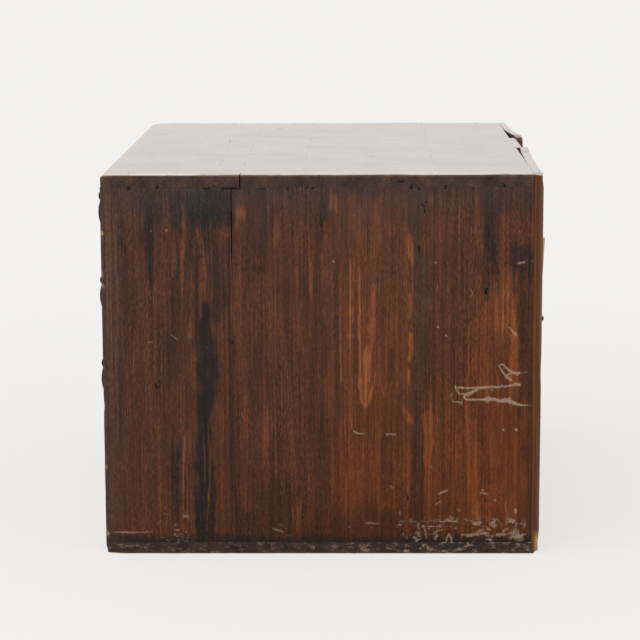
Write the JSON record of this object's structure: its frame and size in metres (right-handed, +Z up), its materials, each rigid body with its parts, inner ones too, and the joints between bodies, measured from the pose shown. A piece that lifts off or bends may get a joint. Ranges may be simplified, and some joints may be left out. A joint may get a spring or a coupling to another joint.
{
  "type": "tabletop chest of drawers",
  "caption": "Low wooden tabletop chest with rows of half-width drawers over a full-width drawer, each pulled by an iron drop bail; sliding drawers, swinging bails.",
  "frame": {"origin": "middle of the base, on the surface that the chest stands on", "axes": "+X to the right of someone facing the front, -Y out of the front, +Z up"},
  "size_m": [0.496, 0.3703, 0.308],
  "materials": {
    "stained_wood": "dark red-brown stain, worn",
    "bare_wood": "unfinished, aged",
    "iron": "dark forged iron"
  },
  "bodies": {
    "case": {"top_boards": "stained_wood", "bottom_boards": "stained_wood", "left_side_boards": "stained_wood", "right_side_boards": "stained_wood", "back_board_left": "stained_wood", "back_board_middle": "stained_wood", "back_board_right": "stained_wood", "upper_shelf": "stained_wood", "middle_shelf": "stained_wood", "lower_shelf": "stained_wood", "upper_divider": "stained_wood", "middle_divider": "stained_wood", "lower_divider": "stained_wood", "top_pegs": "bare_wood", "bottom_pegs": "bare_wood", "back_nails": "iron"},
    "upper_left_drawer": {"upper_left_drawer_front": "stained_wood", "upper_left_drawer_sides": "bare_wood", "upper_left_drawer_back": "bare_wood", "upper_left_drawer_bottom": "bare_wood", "upper_left_cotter_eyes": "iron"},
    "upper_left_bail": {"upper_left_bail": "iron"},
    "upper_right_drawer": {"upper_right_drawer_front": "stained_wood", "upper_right_drawer_sides": "bare_wood", "upper_right_drawer_back": "bare_wood", "upper_right_drawer_bottom": "bare_wood", "upper_right_cotter_eyes": "iron"},
    "upper_right_bail": {"upper_right_bail": "iron"},
    "middle_left_drawer": {"middle_left_drawer_front": "stained_wood", "middle_left_drawer_sides": "bare_wood", "middle_left_drawer_back": "bare_wood", "middle_left_drawer_bottom": "bare_wood", "middle_left_cotter_eyes": "iron"},
    "middle_left_bail": {"middle_left_bail": "iron"},
    "middle_right_drawer": {"middle_right_drawer_front": "stained_wood", "middle_right_drawer_sides": "bare_wood", "middle_right_drawer_back": "bare_wood", "middle_right_drawer_bottom": "bare_wood", "middle_right_cotter_eyes": "iron"},
    "middle_right_bail": {"middle_right_bail": "iron"},
    "lower_left_drawer": {"lower_left_drawer_front": "stained_wood", "lower_left_drawer_sides": "bare_wood", "lower_left_drawer_back": "bare_wood", "lower_left_drawer_bottom": "bare_wood", "lower_left_cotter_eyes": "iron"},
    "lower_left_bail": {"lower_left_bail": "iron"},
    "lower_right_drawer": {"lower_right_drawer_front": "stained_wood", "lower_right_drawer_sides": "bare_wood", "lower_right_drawer_back": "bare_wood", "lower_right_drawer_bottom": "bare_wood", "lower_right_cotter_eyes": "iron"},
    "lower_right_bail": {"lower_right_bail": "iron"},
    "base_drawer": {"base_drawer_front": "stained_wood", "base_drawer_sides": "bare_wood", "base_drawer_back": "bare_wood", "base_drawer_bottom": "bare_wood", "base_cotter_eyes": "iron"},
    "base_bail": {"base_bail": "iron"}
  },
  "joints": [
    {"name": "upper_left_drawer_slide", "type": "slide", "parent": "case", "child": "upper_left_drawer", "axis": [0, -1, 0], "range_m": [0, 0.25]},
    {"name": "upper_left_bail_swing", "type": "hinge", "parent": "upper_left_drawer", "child": "upper_left_bail", "pos_m": [-0.12125, -0.1814, 0.2809], "axis": [-1, 0, 0], "range_deg": [-3, 125]},
    {"name": "upper_right_drawer_slide", "type": "slide", "parent": "case", "child": "upper_right_drawer", "axis": [0, -1, 0], "range_m": [0, 0.25]},
    {"name": "upper_right_bail_swing", "type": "hinge", "parent": "upper_right_drawer", "child": "upper_right_bail", "pos_m": [0.12125, -0.1814, 0.2809], "axis": [-1, 0, 0], "range_deg": [-3, 125]},
    {"name": "middle_left_drawer_slide", "type": "slide", "parent": "case", "child": "middle_left_drawer", "axis": [0, -1, 0], "range_m": [0, 0.25]},
    {"name": "middle_left_bail_swing", "type": "hinge", "parent": "middle_left_drawer", "child": "middle_left_bail", "pos_m": [-0.12125, -0.1814, 0.2104], "axis": [-1, 0, 0], "range_deg": [-3, 125]},
    {"name": "middle_right_drawer_slide", "type": "slide", "parent": "case", "child": "middle_right_drawer", "axis": [0, -1, 0], "range_m": [0, 0.25]},
    {"name": "middle_right_bail_swing", "type": "hinge", "parent": "middle_right_drawer", "child": "middle_right_bail", "pos_m": [0.12125, -0.1814, 0.2104], "axis": [-1, 0, 0], "range_deg": [-3, 125]},
    {"name": "lower_left_drawer_slide", "type": "slide", "parent": "case", "child": "lower_left_drawer", "axis": [0, -1, 0], "range_m": [0, 0.25]},
    {"name": "lower_left_bail_swing", "type": "hinge", "parent": "lower_left_drawer", "child": "lower_left_bail", "pos_m": [-0.12125, -0.1814, 0.1399], "axis": [-1, 0, 0], "range_deg": [-3, 125]},
    {"name": "lower_right_drawer_slide", "type": "slide", "parent": "case", "child": "lower_right_drawer", "axis": [0, -1, 0], "range_m": [0, 0.25]},
    {"name": "lower_right_bail_swing", "type": "hinge", "parent": "lower_right_drawer", "child": "lower_right_bail", "pos_m": [0.12125, -0.1814, 0.1399], "axis": [-1, 0, 0], "range_deg": [-3, 125]},
    {"name": "base_drawer_slide", "type": "slide", "parent": "case", "child": "base_drawer", "axis": [0, -1, 0], "range_m": [0, 0.25]},
    {"name": "base_bail_swing", "type": "hinge", "parent": "base_drawer", "child": "base_bail", "pos_m": [0, -0.1814, 0.06165], "axis": [-1, 0, 0], "range_deg": [-3, 125]}
  ]
}
